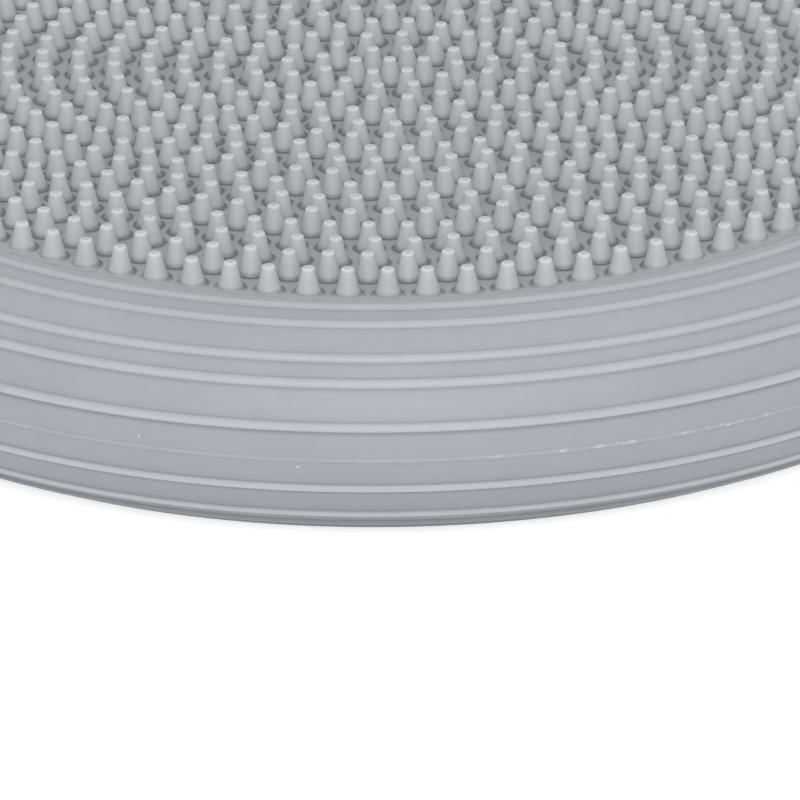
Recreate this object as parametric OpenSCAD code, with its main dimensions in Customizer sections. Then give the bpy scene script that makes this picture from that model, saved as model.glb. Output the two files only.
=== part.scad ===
// Round air-filled balance cushion: two dished vinyl faces, a ribbed rim wall with a
// mould line round its middle, rings of pointed nubs on the upper face, low studs on
// the lower face, and a plugged filling valve in the wall at the back.
// Millimetres, +Z up. The origin is at the middle of the ring that it stands on.

/* [Body] */
// Diameter over the mould line
outer_d = 340; // [320:1:360]
// Height of the smooth wall from the mould line up to the shoulder
wall_half_h = 26.2; // [24:0.1:30]
// Height of the smooth wall below the mould line, where its own weight flattens it a little
lower_half_h = 25.7; // [24:0.1:30]
// How far the wall bulges out beyond the shoulder's highest point
wall_bulge = 28.2; // [24:0.1:32]
// Thickness of the vinyl skin
skin_t = 3; // [2.4:0.1:3.6]
// How much the ring that it stands on is flattened
foot_flat = 0.4; // [0.2:0.1:0.8]

/* [Rim ribs] */
// How far a rib stands out of the wall
rib_h = 0.7; // [0.4:0.05:1]
// Width of a rib along the wall
rib_w = 2.4; // [1.8:0.1:2.6]
// Angles of the ribs round the wall's section, up and down from the mould line
rib_angles = [16.2, 36.7, 48.9, 67.6, 79.6]; // [15:0.1:80]
// How far the mould line stands out
seam_h = 0.2; // [0.1:0.1:0.4]
// Width of the mould line
seam_w = 1; // [0.8:0.1:1.2]

/* [Faces] */
// Height of the middle of a face's skin over the mould line
face_mid_h = 17.7; // [16:0.1:20]
// How much higher the face lies at its outermost ring than in the middle
face_dish = 5.2; // [3:0.1:6]
// Radius of the middle part of the upper face, which sinks under a load
sink_r = 69.4; // [69:0.1:70]
// Clearance round the part that sinks
sink_gap = 0.4; // [0.3:0.1:0.6]

/* [Nubs] */
// Number of nub rings round the middle nub; each ring has six more nubs than the last
nub_rings = 16; // [16:1:16]
// Radius of the outermost nub ring
nub_field_r = 133.5; // [132:0.1:134]
// How much the rings crowd towards the middle
nub_crowding = 0.03; // [0:0.01:0.03]
// Height of a nub over the skin
nub_h = 6.2; // [4:0.1:7]
// Diameter of a nub at its foot
nub_foot_d = 5.7; // [4:0.1:6]
// Diameter of a nub at its tip
nub_tip_d = 3.1; // [2:0.1:4]
// How far round each ring starts from the one inside it, in degrees
ring_twist = 20; // [0:0.5:60]
// How far round from the front centre line the twist starts, in degrees
first_turn = 9.5; // [0:0.5:60]

/* [Studs] */
// Number of stud rings under the lower face
stud_rings = 7; // [4:1:7]
// Diameter of a stud
stud_d = 9; // [6:0.5:10]
// Height of a stud
stud_h = 1.6; // [0.8:0.1:1.8]

/* [Valve] */
// Diameter of the soft valve bush
bush_d = 8; // [7:0.5:8.5]
// Diameter of the bush's flange
flange_d = 11; // [10:0.5:11.5]
// Thickness of the flange
flange_t = 1.6; // [1.2:0.1:1.8]
// Diameter of the plug's stem
stem_d = 4; // [3.6:0.1:4.2]
// Length of the plug's stem
stem_l = 11; // [9:0.5:12]

/* [Hidden] */
quarter = 90;                                    // a quarter turn, in degrees
two_digits = 10;                                 // ring numbers below this get a leading zero
mould_z = lower_half_h - foot_flat;              // height of the mould line over the floor
squash = wall_half_h - lower_half_h;             // how much nearer the mould line the lower face is
shoulder_r = outer_d / 2 - seam_h - wall_bulge;  // radius of the shoulder's highest point
face_margin = 0.6;                               // plain skin outside the outermost nubs
face_r = nub_field_r + nub_foot_d / 2 + face_margin;  // where the nubbed face meets the shoulder
band_a = 20;                                     // half angle of the stiff band at the mould line
flex_a = 56;                                     // where the flexing wall ends and the shoulder begins
turn_in_a = 83;                                  // where the shoulder leaves the wall's curve for the face
plain_step = 4;                                  // angle between the points of the plain wall
bead_step = 0.25;                                // angle between the points across a bead
bead_fullness = 0.8;                             // shape of a bead: 0.5 is a half round, 1 a parabola
face_steps = 12;                                 // straight stretches of a face's or the shoulder's section
embed = 0.6;                                     // depth that nubs and studs root in the skin
tip_round = 0.35;                                // size of the bevel round a nub's tip
tip_l = 1;                                       // length of a nub's tip, where it narrows faster
stud_split = 4;                                  // last ring of the inner group of studs
stud_crown = 0.75;                               // a stud's domed top: its share of the diameter
stud_side = 0.6;                                 // and its share of the height that lies below it
valve_y = outer_d / 2 - seam_h;                  // wall's outside at the valve
boss_in = 9;                                     // how far the valve boss reaches in
bush_l = 19;                                     // length of the bush
core_l = 5;                                      // length of the self-sealing core
core_d = 6;                                      // diameter of the core
core_wall = 1;                                   // closed end of the core, which the needle parts
needle_d = 1.6;                                  // way for the air needle
head_d = 7.4;                                    // diameter of the plug's head
head_t = 1.2;                                    // thickness of the plug's head
stem_free = 0.1;                                 // running clearance round the plug
round_fn = 180;                                  // sides of the large turned pieces
bar_fn = 64;                                     // sides of the valve's round pieces
nub_fn = 32;                                     // sides of nubs and studs
skin_blue = [0.66, 0.71, 0.76];
nub_blue = [0.68, 0.73, 0.77];
valve_grey = [0.42, 0.45, 0.48];
plug_white = [0.9, 0.91, 0.92];

function ring_node(k) = str("nub_ring_", k < two_digits ? "0" : "", k);

// Radius of nub ring k, and its share of the field's radius
function share(k) = k / nub_rings;
function crowd(s) = s * (1 + nub_crowding * (s * s - 1));
function ring_r(k) = nub_field_r * crowd(share(k));

// Height of the face's skin over the mould line at radius r: low in the middle, level at the edge
function face_h(r) =
    let (s = r / nub_field_r)
    face_mid_h + face_dish * (2 * s * s - pow(s, 4));

// Height of a rounded bead of width w and height h at an angle off from its middle
function bead(off, w, h) =
    let (t = off / (w / 2 / wall_bulge * 180 / PI))
    abs(t) < 1 ? h * pow(1 - t * t, bead_fullness) : 0;

// How far the wall's outside stands out at angle a of its section: ribs and mould line
function ribs(a, i = 0) =
    i == len(rib_angles) ? 0 : bead(abs(a) - rib_angles[i], rib_w, rib_h) + ribs(a, i + 1);
function standout(a) = ribs(a) + bead(a, seam_w, seam_h);

// Points of the wall's section, outside and inside, at angle a from the mould line, h being its height
function wall_out(a, h) =
    [shoulder_r + (wall_bulge + standout(a)) * cos(a), (h + standout(a)) * sin(a)];
function wall_in(a, h) =
    [shoulder_r + (wall_bulge - skin_t) * cos(a), (h - skin_t) * sin(a)];
function half_h(a) = a < 0 ? lower_half_h : wall_half_h;

// Angles from a0 to a1: close together on the beads and at their edges, wider apart between them
function near_bead(a) = standout(a - bead_step) + standout(a) + standout(a + bead_step) > 0;
function angles(a0, a1) =
    [for (i = [0:(a1 - a0) / bead_step])
        let (a = a0 + i * bead_step)
        if (i % (plain_step / bead_step) == 0 || a == a1 || near_bead(a)) a];

// Height of the face's edge over the mould line, on the side whose wall is h high
function edge_h(h) = face_h(face_r) - wall_half_h + h;

// Points from the end of a wall of height h in to the face's edge, level with the face there
function turn_in(h) =
    let (from = wall_out(turn_in_a, h), slope = -h / wall_bulge / tan(turn_in_a))
    [for (i = [1:face_steps])
        let (t = i / face_steps, run = face_r - from[0])
        [from[0] + run * t,
            from[1] + (edge_h(h) - from[1]) * t * t * (3 - 2 * t) + slope * run * t * pow(1 - t, 2)]];

function backwards(list) = [for (i = [len(list) - 1:-1:0]) list[i]];

module turned(points) rotate_extrude($fn = round_fn) polygon(points);

// A stretch of the wall's skin between two angles of its section
module wall_ring(a0, a1) {
    outer = [for (a = angles(a0, a1)) wall_out(a, half_h(a))];
    inner = [for (a = [a0:plain_step:a1]) wall_in(a, half_h(a))];
    turned(concat(outer, backwards(inner)));
}

// The rounded shoulder of a wall of height h, from its flexing part over the top to the face's edge
module shoulder_ring(h) {
    outer = concat([for (a = angles(flex_a, turn_in_a)) wall_out(a, h)], turn_in(h));
    inner = [for (a = [flex_a:(quarter - flex_a) / face_steps:quarter]) wall_in(a, h)];
    turned(concat(outer, [[face_r, edge_h(h) - skin_t]], backwards(inner)));
}

// A dished piece of face skin between two radii
module face_skin(r0, r1) {
    radii = [for (i = [0:face_steps]) r0 + (r1 - r0) * i / face_steps];
    outer = [for (r = radii) [r, face_h(r)]];
    inner = [for (r = radii) [r, face_h(r) - skin_t]];
    turned(concat(outer, backwards(inner)));
}

module at_mould_line() translate([0, 0, mould_z]) children();

module upside_down() mirror([0, 0, 1]) children();

// Turns what is drawn for the upper face over, to its place in the lower one
module lower_face() at_mould_line() upside_down() translate([0, 0, -squash]) children();

// One nub, standing on the height z = 0
module nub() {
    rotate_extrude($fn = nub_fn) polygon([
        [0, -embed],
        [nub_foot_d / 2, -embed],
        [nub_foot_d / 2, 0],
        [nub_tip_d / 2 + tip_round, nub_h - tip_l],
        [nub_tip_d / 2 - tip_round, nub_h - tip_round / 2],
        [0, nub_h],
    ]);
}

// Ring k of nubs, standing on the upper face
module nub_ring(k) {
    count = 6 * k;
    start = first_turn + k * ring_twist;
    color(nub_blue)
    for (i = [0:count - 1])
        rotate([0, 0, start + i * 360 / count])
        translate([0, -ring_r(k), mould_z + face_h(ring_r(k))])
        nub();
}

module nub_centre() {
    color(nub_blue) translate([0, 0, mould_z + face_h(0)]) nub();
}

module base_face() {
    color(skin_blue) lower_face() face_skin(0, face_r);
}

// One low domed stud, standing on the height z = 0
module stud() {
    rotate_extrude($fn = nub_fn) polygon([
        [0, -embed],
        [stud_d / 2, -embed],
        [stud_d / 2, 0],
        [stud_d / 2 * stud_crown, stud_h * stud_side],
        [0, stud_h],
    ]);
}

// Studs in rings k0 to k1 under the lower face, clear of the floor; every other ring is half a step on
module stud_field(k0, k1) {
    color(skin_blue) lower_face()
    for (k = [k0:k1], i = [0:max(6 * k, 1) - 1]) {
        r = nub_field_r * k / (stud_rings + 1);
        rotate([0, 0, (i + k % 2 / 2) * 60 / max(k, 1)]) translate([r, 0, face_h(r)]) stud();
    }
}

module base_studs_inner() stud_field(0, stud_split);

module base_studs_outer() stud_field(stud_split + 1, stud_rings);

// Lower shoulder, with its lowest part flattened into the ring that the cushion stands on
module lower_shoulder() {
    color(skin_blue) intersection() {
        at_mould_line() upside_down() shoulder_ring(lower_half_h);
        cylinder(r = outer_d, h = outer_d, $fn = round_fn);
    }
}

module lower_wall() {
    color(skin_blue) at_mould_line() wall_ring(-flex_a, -band_a);
}

module upper_wall() {
    color(skin_blue) at_mould_line() wall_ring(band_a, flex_a);
}

module upper_shoulder() {
    color(skin_blue) at_mould_line() shoulder_ring(wall_half_h);
}

module outer_face() {
    color(skin_blue) at_mould_line() face_skin(sink_r + sink_gap / 2, face_r);
}

module centre_face() {
    color(skin_blue) at_mould_line() face_skin(0, sink_r - sink_gap / 2);
}

// A round bar or hole along the valve's axis, from the wall's outside inwards
module valve_bar(d, from, to) {
    own_turn = 37;
    translate([0, valve_y - from, mould_z])
    rotate([quarter, own_turn, 0])
    cylinder(d = d, h = to - from, $fn = bar_fn);
}

// Stiff band at the mould line, with a boss and a stepped hole for the valve
module seam_band() {
    color(skin_blue) difference() {
        union() {
            at_mould_line() wall_ring(-band_a, band_a);
            valve_bar(bush_d + 2 * skin_t, skin_t / 2, boss_in);
        }
        valve_bar(bush_d, -1, boss_in + 1);
        valve_bar(flange_d, -1, flange_t);
    }
}

// Soft bush with a flange outside, a bore for the plug and a pocket for the core
module valve_bush() {
    color(valve_grey) difference() {
        union() {
            valve_bar(flange_d, 0, flange_t);
            valve_bar(bush_d, flange_t, bush_l);
        }
        valve_bar(head_d + 2 * stem_free, -1, head_t);
        valve_bar(stem_d + 2 * stem_free, head_t - 1, bush_l - core_l + 1);
        valve_bar(core_d, bush_l - core_l, bush_l + 1);
    }
}

// Self-sealing core that an air needle is pushed through
module valve_core() {
    color(plug_white) difference() {
        valve_bar(core_d, bush_l - core_l, bush_l);
        valve_bar(needle_d, bush_l - core_l - 1, bush_l - core_wall);
    }
}

module valve_plug() {
    color(plug_white) {
        valve_bar(head_d, 0, head_t);
        valve_bar(stem_d, head_t, stem_l);
    }
}

base_face();
base_studs_inner();
base_studs_outer();
lower_shoulder();
lower_wall();
seam_band();
valve_bush();
valve_core();
valve_plug();
upper_wall();
upper_shoulder();
outer_face();
centre_face();
nub_centre();
for (k = [1:nub_rings]) nub_ring(k);
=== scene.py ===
"""Looks of a round air-filled balance cushion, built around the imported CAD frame.

Metres, +Z up, front at -Y. Sizes come from the frame; the rest are named values below.
"""

import math

import bpy
import numpy as np
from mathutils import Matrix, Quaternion, Vector


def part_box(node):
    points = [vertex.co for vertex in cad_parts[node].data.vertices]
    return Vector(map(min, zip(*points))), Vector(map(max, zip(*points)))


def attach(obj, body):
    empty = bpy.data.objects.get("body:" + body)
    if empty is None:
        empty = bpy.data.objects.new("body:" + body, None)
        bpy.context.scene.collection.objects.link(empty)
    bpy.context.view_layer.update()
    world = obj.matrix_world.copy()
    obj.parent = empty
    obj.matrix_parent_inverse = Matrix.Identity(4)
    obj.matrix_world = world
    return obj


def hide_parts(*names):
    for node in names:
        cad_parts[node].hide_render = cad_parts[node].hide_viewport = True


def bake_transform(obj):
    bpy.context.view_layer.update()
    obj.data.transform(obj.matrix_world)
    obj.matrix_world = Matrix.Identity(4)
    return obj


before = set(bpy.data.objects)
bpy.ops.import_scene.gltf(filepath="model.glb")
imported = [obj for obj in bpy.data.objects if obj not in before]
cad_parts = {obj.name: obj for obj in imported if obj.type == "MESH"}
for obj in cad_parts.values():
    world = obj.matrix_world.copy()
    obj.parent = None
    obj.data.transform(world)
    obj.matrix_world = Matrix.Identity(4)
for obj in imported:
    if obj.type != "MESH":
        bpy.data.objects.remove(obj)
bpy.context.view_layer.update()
MM = 0.001

# ---------------------------------------------------------------- sizes from the frame


def node_points(node):
    """A CAD node's points as an array of rows x, y, z."""
    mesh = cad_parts[node].data
    points = np.zeros(len(mesh.vertices) * 3)
    mesh.vertices.foreach_get("co", points)
    return points.reshape(-1, 3)


def radii(points):
    return np.hypot(points[:, 0], points[:, 1])


def node_radii(node):
    """A CAD node's smallest and largest radius about the Z axis."""
    r = radii(node_points(node))
    return float(r.min()), float(r.max())


RINGS = sorted(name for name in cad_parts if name.startswith("nub_ring_"))

SKIN_T = 3.0 * MM                               # thickness of the vinyl skin
SEAM_H = 0.2 * MM                               # how far the mould line stands out
WALL_H = 26.2 * MM                              # from the mould line up to the shoulder's highest point
LOWER_H = 25.7 * MM                             # and down to the lower one, flattened a little by weight
SQUASH = WALL_H - LOWER_H
WALL_BULGE = 28.2 * MM                          # how far the wall bulges out beyond the shoulder

MOULD_Z = (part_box("valve_bush")[0].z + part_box("valve_bush")[1].z) / 2
SHOULDER_R = node_radii("seam_band")[1] - SEAM_H - WALL_BULGE
FACE_R = node_radii("outer_face")[1]
FACE_EDGE_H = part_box("outer_face")[1].z - MOULD_Z
FACE_MID_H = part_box("centre_face")[0].z + SKIN_T - MOULD_Z
FIELD_R = sum(node_radii(RINGS[-1])) / 2

# ---------------------------------------------------------------- sizes of the details

RIB_ANGLES = [16.2, 36.7, 48.9, 67.6, 79.6]     # degrees round the wall's section from the mould line
RIB_H = 0.7 * MM
RIB_HALF_W = 1.2 * MM
BEAD_FULLNESS = 0.8                             # exponent of a rib's section, 1 for a parabola
SHADE_BAND_W = 1.1 * MM                             # how far the painted shade beside a rib reaches from its edge
MOULD_LINE_H = 0.12 * MM
MOULD_LINE_HALF_W = 0.55 * MM
TURN_IN = math.radians(83)                      # where the shoulder leaves the wall's curve for the face
BAND_HALF = 6.0 * MM                            # half height of the stiff band at the mould line

NUB_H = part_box("nub_centre")[1].z - MOULD_Z - FACE_MID_H
NUB_FOOT_R = 2.85 * MM
NUB_TIP_R = 1.54 * MM
NUB_FLANK = 0.85                                # exponent of a nub's flank, 1 for a plain cone
NUB_FILLET = 0.45 * MM                          # round between a nub's flank and the skin
NUB_SHADE_R = 4.1 * MM                          # how far out the painted shade at a nub's foot reaches
NUB_ROOT = 1.2 * MM                             # how deep a nub roots in the skin
NUB_LOW = 2.0 * MM                              # below this a nub's points follow the slope of the skin
NUB_SPREAD = 0.012                              # how much nubs differ in lean and in size
NUB_STEPS = 28
FIELD_FADE = 1.5 * MM                           # painted shade at the feet fades out this far about the last ring
EDGE_FROM, EDGE_TO = -1.0 * MM, 2.0 * MM        # and the skin's own painted shade between these, from that ring

STUD_R = 4.5 * MM
STUD_H = 1.6 * MM
STUD_RINGS = 7
STUD_STEPS = 24

FLANGE_T = 1.6 * MM                             # the valve bush's flange
BUSH_R = 4.0 * MM
HEAD_T = 1.2 * MM                               # the plug's head
HEAD_R = 3.7 * MM
STEM_R = 2.0 * MM

ROUND = 540                                     # steps round the cushion
PLAIN_STEP = math.radians(1.5)                  # step round the wall's section between the beads
BEAD_STEPS = 14                                 # steps across a bead
SHADE_BAND_STEPS = (0.03, 0.35, 1.0)                # points across the painted shade beside a bead, as shares of it

# ---------------------------------------------------------------- outline of the skin


def face_h(r):
    """Height of a face's skin over the mould line at radius r: low in the middle, level at the edge."""
    s = np.minimum(r / FIELD_R, 1.0)
    return FACE_MID_H + (FACE_EDGE_H - FACE_MID_H) * (2 * s ** 2 - s ** 4)


def bead(a, at, half_w, height):
    """Height of a rounded bead of the wall at angle a of its section."""
    t = (a - at) / (half_w / WALL_BULGE)
    return height * max(0.0, 1 - t * t) ** BEAD_FULLNESS


def beads():
    """(angle, half width, height) of each bead of the wall: the ribs of both halves, and the mould line."""
    ribs = [(math.radians(side * at), RIB_HALF_W, RIB_H) for side in (-1, 1) for at in RIB_ANGLES]
    return ribs + [(0.0, MOULD_LINE_HALF_W, MOULD_LINE_H)]


def wall_painted_light(a, up=1):
    """Painted light at angle a: 1 on a rib's crown, a painted highlight, and below 0 the painted shade
    beside it.
    The painted shade under a rib is the deeper one, most of all where the wall stands steep."""
    crown = max(bead(a, *b) for b in beads()) / RIB_H
    if crown > 0:
        return crown
    shade_reach = SHADE_BAND_W / WALL_BULGE
    deepest = 0.0
    for at, half_w, height in beads():
        below = up * (at - a) > 0
        if height < RIB_H:
            share = LINE_SHADE if below else 0.0
        else:
            share = SHADE_UNDER_RIB + SHADE_UNDER_STEEP_RIB * math.cos(at) ** 4 if below else SHADE_ABOVE_RIB
        gap = abs(a - at) - half_w / WALL_BULGE
        deepest = max(deepest, share * (1 - gap / shade_reach))
    return -RIB_SHADE * deepest


def half_height(a, up=1):
    """Height of the half of the wall that angle a is in. up = -1 measures a downwards."""
    return WALL_H if up * a >= 0 else LOWER_H


def wall_out(a, up=1):
    """Radius, height over the mould line and painted light of the wall's outside at angle a."""
    out = sum(bead(a, *b) for b in beads())
    height = (half_height(a, up) + out) * math.sin(a)
    return (SHOULDER_R + (WALL_BULGE + out) * math.cos(a), height, wall_painted_light(a, up))


def wall_in(a, up=1):
    height = (half_height(a, up) - SKIN_T) * math.sin(a)
    return (SHOULDER_R + (WALL_BULGE - SKIN_T) * math.cos(a), height, 0.0)


def wall_angles(a0, a1):
    """Angles from a0 to a1: even steps, and on each bead and beside it points of its own."""
    angles = {a0, a1}
    steps = round((a1 - a0) / PLAIN_STEP)
    shade_reach = SHADE_BAND_W / WALL_BULGE
    taken = [(at, half_w / WALL_BULGE) for at, half_w, height in beads()]
    for i in range(1, steps):
        a = a0 + (a1 - a0) * i / steps
        if all(abs(a - at) > half + shade_reach for at, half in taken):
            angles.add(a)
    for at, half in taken:
        own = [at + half * math.sin(math.pi * (i / BEAD_STEPS - 0.5)) for i in range(BEAD_STEPS + 1)]
        own += [at + side * (half + shade_reach * share) for side in (-1, 1) for share in SHADE_BAND_STEPS]
        angles.update(a for a in own if a0 < a < a1)
    return sorted(angles)


def shoulder_to_face(up, steps=14):
    """Points from the end of the wall's curve in to the face's edge, where they run level."""
    half = half_height(TURN_IN, up)
    r, h, painted_light = wall_out(TURN_IN, up)
    edge = half - WALL_H + FACE_EDGE_H
    run = FACE_R - r
    slope = -half / WALL_BULGE / math.tan(TURN_IN)
    points = []
    for i in range(1, steps + 1):
        t = i / steps
        rise = (edge - h) * t * t * (3 - 2 * t) + slope * run * t * (1 - t) ** 2
        # painted highlight on the shoulder's crest
        points.append((r + run * t, h + rise, SHOULDER_HIGHLIGHT * min(1.0, 4 * t)))
    return points


# ---------------------------------------------------------------- mesh helpers


def new_object(name, verts, faces, material, sharp_deg=42, painted_light=None):
    """A smooth-shaded mesh object with its hard edges kept. painted_light is a number for each vertex: a
    painted highlight above 0, painted shade below.
    """
    mesh = bpy.data.meshes.new(name)
    mesh.from_pydata(np.asarray(verts).tolist(), [], faces)
    mesh.polygons.foreach_set("use_smooth", [True] * len(mesh.polygons))
    mesh.set_sharp_from_angle(angle=math.radians(sharp_deg))
    mesh.materials.append(material)
    if painted_light is not None:
        mesh.attributes.new("painted_light", "FLOAT", "POINT").data.foreach_set("value", painted_light)
    mesh.update()
    made = bpy.data.objects.new(name, mesh)
    bpy.context.scene.collection.objects.link(made)
    return made


def turned(profile, steps):
    """Vertices, painted light and faces of an outline of (r, z, painted light) turned about Z, its inside
    on its left.
    An outline that starts and ends at r = 0 has two poles; any other is a closed loop."""
    turn = np.arange(steps) * 2 * math.pi / steps
    verts, rings, start = [], [], 0
    for r, z, light_paint in profile:
        count = 1 if r < 1e-9 else steps
        around = turn[:count]
        height_and_painted_light = np.full((count, 2), (z, light_paint))
        verts.append(np.column_stack([r * np.cos(around), r * np.sin(around), height_and_painted_light]))
        rings.append(list(range(start, start + count)))
        start += count
    looped = all(len(ring) > 1 for ring in rings)
    pairs = zip(rings, rings[1:] + rings[:1]) if looped else zip(rings, rings[1:])
    faces = []
    for low, high in pairs:
        for i in range(steps):
            j = (i + 1) % steps
            if len(low) == 1:
                faces.append((low[0], high[j], high[i]))
            elif len(high) == 1:
                faces.append((low[i], low[j], high[0]))
            else:
                faces.append((low[i], low[j], high[j], high[i]))
    made = np.concatenate(verts)
    return made[:, :3], made[:, 3], faces


def lathe(name, profile, material, steps=ROUND):
    verts, painted_light, faces = turned(profile, steps)
    return new_object(name, verts, faces, material, painted_light=painted_light)


def painted_shade_at(r):
    """How much painted shade a face's skin gets at radius r: less outside the field, past the last ring."""
    outside = np.clip((r - FIELD_R - EDGE_FROM) / (EDGE_TO - EDGE_FROM), 0, 1)
    return FIELD_SHADE + (EDGE_SHADE - FIELD_SHADE) * outside


def copies(name, profile, steps, places, material):
    """One mesh with a turned outline copied to each place. place() gives a copy's points. Past the
    edge of the field its painted shade is no deeper than that of the skin there."""
    unit, painted_light, unit_faces = turned(profile, steps)
    verts = np.concatenate([place(unit) for place in places])
    faces = [tuple(v + n * len(unit) for v in face) for n in range(len(places)) for face in unit_faces]
    out_of_field = np.clip((radii(verts) - FIELD_R + FIELD_FADE) / (2 * FIELD_FADE), 0, 1)
    light_paint = np.maximum(np.tile(painted_light, len(places)), -1 + (1 - painted_shade_at(radii(verts))) * out_of_field)
    return new_object(name, verts, faces, material, sharp_deg=60, painted_light=light_paint)


# ---------------------------------------------------------------- materials

PAINTED_HIGHLIGHT = 0.09                                   # how much lighter a painted highlight makes a crown or rim
PAINTED_SHADE_DEPTH = 0.93                                  # how much darker the deepest painted shade is
RIB_SHADE = 0.22                               # painted shade beside a bead, as a share of the deepest
LINE_SHADE = 0.5                               # painted shade under the mould line, as a share of that beside a bead
SHADE_ABOVE_RIB = 0.2                                 # painted shade above a rib
SHADE_UNDER_RIB = 0.5                                 # painted shade under a rib where the wall lies flat
SHADE_UNDER_STEEP_RIB = 1.9                           # and painted shade added where the wall stands steep
FIELD_SHADE = 0.46                               # painted shade on the skin between the nubs, away from their feet
EDGE_SHADE = 0.33                                # painted shade on the skin outside the last ring, less than between the nubs
SHOULDER_HIGHLIGHT = 0.7                              # painted highlight on the shoulder's crest, next to it
LOW_SHADE = 0.58                                # painted shade: how much darker the wall is made at the floor
LOW_SHADE_TOP_Z = MOULD_Z + 20 * MM                 # and the height up to which it reaches
UNDER_SHADE = 0.60                              # painted shade: how much darker its underside is made
UNDER_TO_Z, UNDER_FROM_Z = 6.8 * MM, 8.0 * MM   # heights between which the underside's painted shade comes in
CROWN_SHADE_SHARE = 0.3                               # share of the painted shade at the floor left on a crown with a painted highlight

# colours of the painted highlight and the painted shade, and of the flash on the mould line
PAINTED_HIGHLIGHT_COLOUR = (0.78, 0.80, 0.80)
PAINTED_SHADE_COLOUR = (0.05, 0.06, 0.07)
FLASH_COLOUR = (0.62, 0.65, 0.68)


def noise(tree, coords, scale, detail=3.0, roughness=0.55):
    """A noise of so many cells a metre, on the object's own coordinates."""
    made = tree.nodes.new("ShaderNodeTexNoise")
    made.inputs["Scale"].default_value = scale
    made.inputs["Detail"].default_value = detail
    made.inputs["Roughness"].default_value = roughness
    tree.links.new(coords, made.inputs["Vector"])
    return made.outputs["Fac"]


def ramp(tree, factor, *stops):
    """A colour ramp of (place, colour) stops."""
    made = tree.nodes.new("ShaderNodeValToRGB")
    elements = made.color_ramp.elements
    while len(elements) < len(stops):
        elements.new(0.5)
    for element, (place, colour) in zip(elements, stops):
        element.position = place
        element.color = (*colour, 1.0)
    tree.links.new(factor, made.inputs["Fac"])
    return made.outputs["Color"]


def between(tree, value, low, high, to_low=0.0, to_high=1.0):
    """value mapped from low..high to to_low..to_high, and held at the ends."""
    made = tree.nodes.new("ShaderNodeMapRange")
    for name, number in [("From Min", low), ("From Max", high), ("To Min", to_low), ("To Max", to_high)]:
        made.inputs[name].default_value = number
    tree.links.new(value, made.inputs["Value"])
    return made.outputs["Result"]


def math_node(tree, operation, a, b=None):
    made = tree.nodes.new("ShaderNodeMath")
    made.operation = operation
    for socket, value in zip(made.inputs, [a, b]):
        if isinstance(value, (int, float)):
            socket.default_value = value
        elif value is not None:
            tree.links.new(value, socket)
    return made.outputs[0]


def mix_colour(tree, factor, a, b, how="MIX"):
    """Mixes colour b into colour a; each is a socket or a plain colour."""
    made = tree.nodes.new("ShaderNodeMix")
    made.data_type = "RGBA"
    made.blend_type = how
    for index, value in [(0, factor), (6, a), (7, b)]:     # the sockets for the factor and two colours
        socket = made.inputs[index]
        if isinstance(value, (int, float)):
            socket.default_value = value
        elif isinstance(value, tuple):
            socket.default_value = (*value, 1.0)
        else:
            tree.links.new(value, socket)
    return made.outputs[2]


def start_material(name):
    """A new material, its tree, its shader and the object's own coordinates."""
    made = bpy.data.materials.new(name)
    made.use_nodes = True
    tree = made.node_tree
    coords = tree.nodes.new("ShaderNodeTexCoord").outputs["Object"]
    return made, tree, tree.nodes["Principled BSDF"], coords


def add_bump(tree, shader, height, distance, strength=1.0, under=None):
    """Bump of so many metres. under is a bump to build on."""
    made = tree.nodes.new("ShaderNodeBump")
    made.inputs["Distance"].default_value = distance
    made.inputs["Strength"].default_value = strength
    tree.links.new(height, made.inputs["Height"])
    if under is not None:
        tree.links.new(under, made.inputs["Normal"])
    tree.links.new(made.outputs["Normal"], shader.inputs["Normal"])
    return made.outputs["Normal"]


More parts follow.
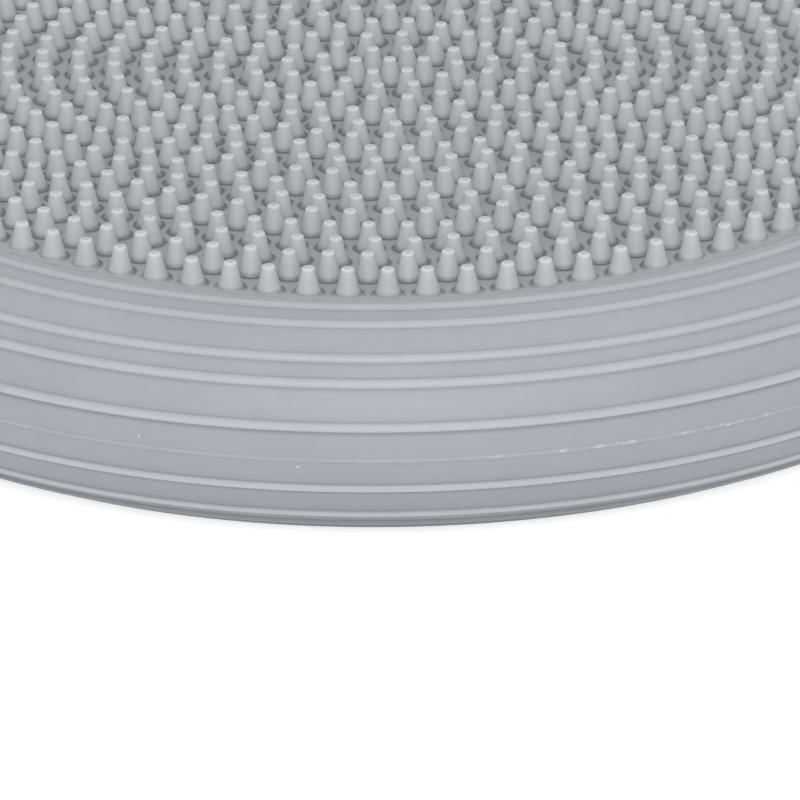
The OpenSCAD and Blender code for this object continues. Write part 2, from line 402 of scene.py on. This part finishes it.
def vinyl(name, colour, scuffed=False):
    """Soft moulded vinyl: satin, faintly mottled, with a fine matte grain, a painted highlight on crowns
    and rims, and painted shade in creases, between nubs and towards the floor. scuffed adds specks of flash
    and light rubs along the mould line."""
    made, tree, shader, coords = start_material(name)
    shader.inputs["IOR"].default_value = 1.5
    shader.inputs["Specular IOR Level"].default_value = 0.42
    shader.inputs["Subsurface Weight"].default_value = 0.12
    shader.inputs["Subsurface Radius"].default_value = (0.9, 1.0, 1.1)
    shader.inputs["Subsurface Scale"].default_value = 1.2 * MM

    patches = noise(tree, coords, 38, 3, 0.6)
    clouds = noise(tree, coords, 260, 4, 0.6)
    grain = noise(tree, coords, 2600, 2, 0.6)
    darker = tuple(c * 0.955 for c in colour)
    lighter = tuple(min(1.0, c * 1.035) for c in colour)
    base = ramp(tree, patches, (0.32, darker), (0.68, lighter))
    base = mix_colour(tree, 0.35, base, ramp(tree, clouds, (0.35, darker), (0.65, lighter)))
    # the painted_light attribute: a painted highlight mixed in above 0, painted shade below
    painted_light = tree.nodes.new("ShaderNodeAttribute")
    painted_light.attribute_name = "painted_light"
    light_paint = painted_light.outputs["Fac"]
    base = mix_colour(tree, between(tree, light_paint, 0.0, 0.8, 0.0, PAINTED_HIGHLIGHT), base, PAINTED_HIGHLIGHT_COLOUR)
    base = mix_colour(tree, between(tree, light_paint, -1.0, 0.0, PAINTED_SHADE_DEPTH, 0.0), base, PAINTED_SHADE_COLOUR)
    # painted shade towards the floor and on the underside, less on crowns with a painted highlight
    split = tree.nodes.new("ShaderNodeSeparateXYZ")
    tree.links.new(coords, split.inputs[0])
    height = split.outputs["Z"]
    low_shade = math_node(tree, "MULTIPLY", between(tree, height, 0.0, LOW_SHADE_TOP_Z, LOW_SHADE, 0.0),
                      between(tree, light_paint, 0.0, 0.6, 1.0, CROWN_SHADE_SHARE))
    under = between(tree, height, UNDER_TO_Z, UNDER_FROM_Z, UNDER_SHADE, 0.0)
    base = mix_colour(tree, math_node(tree, "MAXIMUM", low_shade, under), base, PAINTED_SHADE_COLOUR)
    if scuffed:
        base = mix_colour(tree, mould_scuffs(tree, coords), base, FLASH_COLOUR)
    tree.links.new(base, shader.inputs["Base Color"])

    dull = math_node(tree, "ADD", between(tree, patches, 0.3, 0.7, 0.44, 0.52),
                     between(tree, grain, 0.3, 0.7, -0.03, 0.05))
    tree.links.new(dull, shader.inputs["Roughness"])
    swell = add_bump(tree, shader, patches, 0.10 * MM, 0.6)
    orange_peel = add_bump(tree, shader, clouds, 0.05 * MM, 0.35, under=swell)
    add_bump(tree, shader, grain, 0.02 * MM, 0.35, under=orange_peel)
    return made


def mould_scuffs(tree, coords):
    """How much of a light speck there is: broken flash on the mould line, more of it on the right of
    the front, and rare specks beside the line."""
    split = tree.nodes.new("ShaderNodeSeparateXYZ")
    tree.links.new(coords, split.inputs[0])
    off_line = math_node(tree, "ABSOLUTE", math_node(tree, "SUBTRACT", split.outputs["Z"], MOULD_Z))
    on_line = between(tree, off_line, 0.1 * MM, 0.5 * MM, 0.32, 0.0)
    beside = between(tree, off_line, 3.0 * MM, 5.0 * MM, 0.45, 0.0)
    flash = between(tree, noise(tree, coords, 420, 2, 0.5), 0.50, 0.66)
    stretches = between(tree, split.outputs["X"], 12 * MM, 30 * MM, 0.12, 0.85)
    specks = between(tree, noise(tree, coords, 620, 0, 0.5), 0.84, 0.88)
    flecks = math_node(tree, "MULTIPLY", math_node(tree, "MULTIPLY", on_line, flash), stretches)
    return math_node(tree, "ADD", flecks, math_node(tree, "MULTIPLY", beside, specks))


def valve_material(name, colour, roughness):
    """Moulded rubber or plastic of the valve, with a fine satin grain."""
    made, tree, shader, coords = start_material(name)
    shader.inputs["IOR"].default_value = 1.5
    clouds = noise(tree, coords, 900, 3, 0.6)
    darker = tuple(c * 0.9 for c in colour)
    tree.links.new(ramp(tree, clouds, (0.3, darker), (0.7, colour)), shader.inputs["Base Color"])
    tree.links.new(between(tree, clouds, 0.3, 0.7, roughness, roughness + 0.1), shader.inputs["Roughness"])
    add_bump(tree, shader, noise(tree, coords, 4000, 2, 0.5), 0.02 * MM, 0.4)
    return made


FLOOR_GLOW = 0.58                               # the floor is a light table, so shadows on it stay faint


def floor_material():
    """Matte white board of a light table."""
    made, tree, shader, coords = start_material("floor_board")
    shader.inputs["Specular IOR Level"].default_value = 0.1
    shader.inputs["Roughness"].default_value = 0.9
    patches = noise(tree, coords, 3, 2, 0.5)
    tree.links.new(ramp(tree, patches, (0.3, (0.90, 0.90, 0.90)), (0.7, (0.92, 0.92, 0.92))),
                   shader.inputs["Base Color"])
    shader.inputs["Emission Color"].default_value = (1.0, 1.0, 1.0, 1.0)
    shader.inputs["Emission Strength"].default_value = FLOOR_GLOW
    return made


SKIN_COLOUR = (0.261, 0.285, 0.309)
# the same vinyl as the skin, painted lighter to offset the shade that the nubs cast on each other
NUB_COLOUR_PAINTED_LIGHTER = (0.413, 0.447, 0.468)
SKIN = vinyl("skin_vinyl_satin", SKIN_COLOUR)
BAND = vinyl("band_vinyl_satin", SKIN_COLOUR, scuffed=True)
NUB_VINYL_PAINTED_LIGHTER = vinyl("nub_vinyl_painted_lighter", NUB_COLOUR_PAINTED_LIGHTER)
RUBBER = valve_material("valve_rubber_grey", (0.16, 0.18, 0.20), 0.45)
PLUG = valve_material("plug_plastic_white", (0.74, 0.76, 0.78), 0.35)

# ---------------------------------------------------------------- pieces of the skin


def at_height(outline, up=1):
    """An outline over the mould line at its height. up = -1 turns it over, inside still on its left."""
    points = [(r, MOULD_Z + up * h, painted_light) for r, h, painted_light in outline]
    return points if up > 0 else points[::-1]


def band_profile(steps=12):
    """The stiff band at the mould line: outside up, inside down."""
    out_low, in_low = band_angles(LOWER_H)
    out_high, in_high = band_angles(WALL_H)
    outer = [wall_out(a) for a in wall_angles(-out_low, out_high)]
    inner = [wall_in(-in_low + (in_low + in_high) * i / steps) for i in range(steps + 1)]
    return at_height(outer + inner[::-1])


def band_angles(half):
    """Angles at which the stiff band ends, on the outside and the inside of a wall of that height."""
    return math.asin(BAND_HALF / half), math.asin(BAND_HALF / (half - SKIN_T))


def cut_valve_seat(band):
    """Cuts the valve's hole and the recess for its flange in the band."""
    low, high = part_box("valve_bush")
    flange_r, gap = (high.x - low.x) / 2, 0.05 * MM
    for r, deep in [(flange_r + 2 * gap, FLANGE_T + gap), (BUSH_R + gap, 4 * SKIN_T)]:
        bpy.ops.mesh.primitive_cylinder_add(
            vertices=64, radius=r, depth=2 * deep, location=(0, high.y, MOULD_Z),
            rotation=(math.pi / 2, 0, 0))
        cutter = bpy.context.object
        cut = band.modifiers.new("valve_seat", "BOOLEAN")
        cut.operation = "DIFFERENCE"
        cut.solver = "EXACT"
        cut.object = cutter
        bpy.context.view_layer.objects.active = band
        bpy.ops.object.modifier_apply(modifier=cut.name)
        bpy.data.objects.remove(cutter)
    band.data.set_sharp_from_angle(angle=math.radians(42))


def wall_profile(up, steps=30):
    """Half of the wall from the band to the face's edge, as an outline over the mould line."""
    out_from, in_from = band_angles(half_height(TURN_IN, up))
    outer = [wall_out(a, up) for a in wall_angles(out_from, TURN_IN)] + shoulder_to_face(up)
    inner = [wall_in(in_from + (math.pi / 2 - in_from) * i / steps, up) for i in range(steps + 1)]
    return outer + [(FACE_R, outer[-1][1] - SKIN_T, 0.0)] + inner[::-1]


def rest_flat(outline):
    """An upside-down outline with its lowest part flattened where it stands on the floor."""
    return [(r, max(z, 0.0), painted_light) for r, z, painted_light in outline]


def face_profile(steps=80):
    """A dished face from the middle to its edge, and back along its inside."""
    # the face's skin gets painted shade, less past the last ring
    outer = [(r, face_h(r), -float(painted_shade_at(r))) for r in (FACE_R * i / steps for i in range(steps + 1))]
    inner = [(r, h - SKIN_T, 0.0) for r, h, painted_light in outer]
    return inner + outer[::-1]


def side_ring(name, up, nodes):
    """Upper or lower side of the cushion between the stiff band and its face, built in its rest shape."""
    outline = at_height(wall_profile(up), up)
    piece = lathe(name, outline if up > 0 else rest_flat(outline), SKIN)
    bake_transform(piece)
    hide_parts(*nodes)
    return piece


# ---------------------------------------------------------------- nubs and studs


def nub_profile():
    """A nub from its root up: a skirt of skin with painted shade about its foot, a fillet, a nearly
    straight flank, a crisp rim with a painted highlight and a flat tip with faint painted shade."""
    rim, skirt, dimple = 0.7 * MM, 0.03 * MM, 0.04 * MM
    foot_shade, shade_to = 0.4, 0.16          # painted shade left where the flank starts, and where it ends
    # a painted highlight on the rim, painted shade on the tip and its middle
    rim_highlight, tip_shade, middle_shade = 0.9, 0.16, 0.18
    flank_top = NUB_H - rim
    points = [(0.0, -NUB_ROOT, -1.0)]
    points += [(NUB_SHADE_R, h, -FIELD_SHADE) for h in (-NUB_ROOT, -skirt)]
    shade_in = NUB_FOOT_R + NUB_FILLET
    for i in range(1, 3):
        share = i / 3
        points.append((NUB_SHADE_R + (shade_in - NUB_SHADE_R) * share, skirt * share,
                       -FIELD_SHADE - (1 - FIELD_SHADE) * share))
    for i in range(5):
        t = math.pi / 2 * i / 4
        out, up = NUB_FILLET * (1 - math.sin(t)), NUB_FILLET * (1 - math.cos(t))
        points.append((NUB_FOOT_R + out, skirt + up, -1 + (1 - foot_shade) * i / 4))
    for i in range(1, 8):
        u = i / 7
        points.append((NUB_FOOT_R - (NUB_FOOT_R - NUB_TIP_R) * u ** NUB_FLANK,
                       NUB_FILLET + (flank_top - NUB_FILLET) * u,
                       min(0.0, foot_shade * (u / shade_to - 1))))
    for i in range(1, 6):
        t = math.pi / 2 * i / 5
        points.append((NUB_TIP_R - rim * (1 - math.cos(t)), flank_top + rim * math.sin(t),
                       rim_highlight * math.sin(2 * t) - tip_shade * i / 5))
    return points + [(0.0, NUB_H - dimple, -middle_shade)]


def nub_place(angle, r, lean, size):
    """Puts a nub at an angle from the front centre line: its foot follows the skin, its tip stays level."""
    across, back = r * math.sin(angle), -r * math.cos(angle)

    def place(unit):
        points = unit * [1, 1, size]
        points[:, 0] += across + lean[0] * unit[:, 2]
        points[:, 1] += back + lean[1] * unit[:, 2]
        up = np.clip(unit[:, 2] / NUB_LOW, 0, 1)
        points[:, 2] += MOULD_Z + face_h(radii(points)) * (1 - up) + face_h(r) * up
        return points
    return place


def ring_angles(name, count):
    """Angles of a ring's nubs from the front centre line, measured on its CAD node."""
    points = node_points(name)
    turn = np.arctan2(points[:, 0], -points[:, 1])
    step = 2 * math.pi / count
    start = np.angle(np.exp(1j * count * turn).mean()) / count
    off = (turn - start + step / 2) % step - step / 2
    start += (off.min() + off.max()) / 2
    return [start + i * step for i in range(count)]


def nub_ring(name, angles, r, random):
    """A ring of nubs, which sinks as much as the skin under it does."""
    leans = random.normal(0, NUB_SPREAD, (len(angles), 2))
    sizes = random.normal(1, NUB_SPREAD, len(angles))
    places = [nub_place(a, r, lean, size) for a, lean, size in zip(angles, leans, sizes)]
    piece = copies(name + "_moulded", nub_profile(), NUB_STEPS, places, NUB_VINYL_PAINTED_LIGHTER)
    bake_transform(piece)
    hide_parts(name)
    return piece


def stud_place(angle, r):
    """Puts a stud under the lower face, its foot following the skin."""
    def place(unit):
        points = unit * [1, -1, 1] + [r * math.cos(angle), r * math.sin(angle), 0]
        points[:, 2] = MOULD_Z + SQUASH - face_h(radii(points)) - unit[:, 2]
        return points
    return place


def stud_profile():
    """A low domed stud with a fillet at its foot, drawn upright from its root to its tip, with painted
    shade at the foot and a painted highlight on the dome.
    """
    fillet, root = 0.4 * MM, 0.8 * MM
    points = [(0.0, -root, -1.0), (STUD_R + fillet, -root, -1.0)]
    for i in range(5):
        t = math.pi / 2 * i / 4
        points.append((STUD_R + fillet * (1 - math.sin(t)), fillet * (1 - math.cos(t)), i / 4 - 1))
    for i in range(1, 8):
        t = math.pi / 2 * i / 7
        r = STUD_R * math.cos(t) if i < 7 else 0.0
        points.append((r, fillet + (STUD_H - fillet) * math.sin(t), i / 7))
    return points


def base_studs(name, rings, node):
    places = []
    for k in rings:
        for i in range(max(6 * k, 1)):
            angle = math.radians((i + 0.5 * (k % 2)) * 60 / max(k, 1))
            places.append(stud_place(angle, FIELD_R * k / (STUD_RINGS + 1)))
    piece = copies(name, stud_profile(), STUD_STEPS, places, SKIN)
    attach(piece, "base")
    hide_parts(node)
    return piece


# ---------------------------------------------------------------- valve


def valve_turned(name, profile, material):
    """A piece turned about the valve's axis. profile is (r, distance out from the wall's outside)."""
    out_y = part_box("valve_bush")[1].y
    verts, painted_light, faces = turned([(r, z, 0.0) for r, z in profile], 64)
    turned_out = np.column_stack([verts[:, 0], out_y + verts[:, 2], MOULD_Z - verts[:, 1]])
    return new_object(name, turned_out, faces, material, painted_light=painted_light)


def round_edge(r, z, size, start_deg, end_deg, steps=5):
    """Points of a small round about (r, z)."""
    angles = [math.radians(start_deg + (end_deg - start_deg) * i / steps) for i in range(steps + 1)]
    return [(r + size * math.cos(a), z + size * math.sin(a)) for a in angles]


def bush_profile():
    flange_r, seat_r, bore_r, core_r = 5.5 * MM, 3.8 * MM, 2.1 * MM, 3.0 * MM
    length, core_at, soft = 19 * MM, 14 * MM, 0.35 * MM
    return [
        (BUSH_R, -length), (BUSH_R, -FLANGE_T), (flange_r, -FLANGE_T),
        *round_edge(flange_r - soft, -soft, soft, 0, 90),
        *round_edge(seat_r + soft, -soft, soft, 90, 180),
        (seat_r, -HEAD_T), (bore_r, -HEAD_T), (bore_r, -core_at), (core_r, -core_at), (core_r, -length),
    ]


def plug_profile():
    """Stem with a blunt tip, and a head with soft edges and a shallow dimple."""
    stem_l, soft, dimple_r = 11 * MM, 0.4 * MM, 1.5 * MM
    dimple = [(dimple_r * (1 - i / 5), -0.35 * MM * math.sin(math.pi / 2 * i / 5)) for i in range(5)]
    return [
        (0.0, -stem_l), *round_edge(STEM_R - soft, -stem_l + soft, soft, -90, 0),
        (STEM_R, -HEAD_T), *round_edge(HEAD_R - 0.15 * MM, -HEAD_T + 0.15 * MM, 0.15 * MM, -90, 0, 2),
        *round_edge(HEAD_R - soft, -soft, soft, 0, 90), *dimple, (0.0, -0.35 * MM),
    ]


# ---------------------------------------------------------------- the cushion

band = lathe("stiff_band", band_profile(), BAND)
cut_valve_seat(band)
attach(band, "middle")
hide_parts("seam_band")

side_ring("lower_side", -1, ["lower_wall", "lower_shoulder"])
side_ring("upper_side", 1, ["upper_wall", "upper_shoulder"])

top = lathe("top_skin", at_height(face_profile()), NUB_VINYL_PAINTED_LIGHTER)
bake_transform(top)
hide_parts("outer_face", "centre_face")

under_face = [(r, h - SQUASH, painted_light) for r, h, painted_light in face_profile()]
under = lathe("under_skin", at_height(under_face, -1), NUB_VINYL_PAINTED_LIGHTER)
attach(under, "base")
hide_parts("base_face")
base_studs("under_studs_inner", range(0, 5), "base_studs_inner")
base_studs("under_studs_outer", range(5, STUD_RINGS + 1), "base_studs_outer")

random = np.random.default_rng(16)
nub_ring("nub_centre", [0.0], 0.0, random)
for k, ring in enumerate(RINGS, start=1):
    nub_ring(ring, ring_angles(ring, 6 * k), sum(node_radii(ring)) / 2, random)

for piece, body, cad_node, finish in [
    (valve_turned("valve_bush_moulded", bush_profile(), RUBBER), "middle", "valve_bush", "valve_rubber"),
    (valve_turned("valve_plug_moulded", plug_profile(), PLUG), "plug", "valve_plug", "plug_plastic"),
]:
    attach(piece, body)
    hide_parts(cad_node)
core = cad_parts["valve_core"]
for index in range(len(core.data.materials)):
    core.material_slots[index].material = RUBBER

# ---------------------------------------------------------------- stage, light and camera


def look_at(obj, place, target):
    obj.location = place
    obj.rotation_mode = "QUATERNION"
    obj.rotation_quaternion = (Vector(target) - Vector(place)).to_track_quat("-Z", "Y")


def soft_box(name, place, target, size, power):
    """A square lamp that lights and shows in reflections, but isn't in the picture."""
    lamp = bpy.data.lights.new(name, "AREA")
    lamp.size = size
    lamp.energy = power
    made = bpy.data.objects.new(name, lamp)
    made.visible_camera = False
    look_at(made, place, target)
    bpy.context.scene.collection.objects.link(made)


def studio():
    """Pale floor, even pale surroundings, a large lamp overhead and a front lamp."""
    half = 6.0
    corners = [(-half, -half, 0), (half, -half, 0), (half, half, 0), (-half, half, 0)]
    floor = new_object("floor", corners, [(0, 1, 2, 3)], floor_material())
    world = bpy.data.worlds.new("studio_air")
    world.use_nodes = True
    world.node_tree.nodes["Background"].inputs["Color"].default_value = (1.0, 1.0, 1.0, 1)
    world.node_tree.nodes["Background"].inputs["Strength"].default_value = 0.88
    bpy.context.scene.world = world
    soft_box("overhead", (0, 0.2, 2.2), (0, 0, 0), 1.6, 8)
    soft_box("front", (0.0, -2.5, 1.45), (0, -0.1, 0.02), 1.6, 42)
    bpy.context.scene.view_settings.view_transform = "Standard"


def photo_camera():
    """Low close-up from the front with a long lens, rolled a little. The distance and the first angle
    are from the middle nub's tip to the camera; the others say where the camera points."""
    distance, above, down, right, roll = 1.578, 22.278, 25.218, 0.0475, -0.826
    tip = Vector((0, 0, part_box("nub_centre")[1].z))
    rise = math.radians(above)
    place = tip + distance * Vector((0, -math.cos(rise), math.sin(rise)))
    dip, turn = math.radians(down), math.radians(right)
    ahead = Vector((math.sin(turn) * math.cos(dip), math.cos(turn) * math.cos(dip), -math.sin(dip)))
    data = bpy.data.cameras.new("camera")
    data.lens = 299.9
    data.sensor_width = 36
    data.clip_start, data.clip_end = 0.05, 50
    camera = bpy.data.objects.new("camera", data)
    camera.location = place
    camera.rotation_mode = "QUATERNION"
    camera.rotation_quaternion = ahead.to_track_quat("-Z", "Y") @ Quaternion((0, 0, 1), math.radians(roll))
    bpy.context.scene.collection.objects.link(camera)
    bpy.context.scene.camera = camera


studio()
photo_camera()
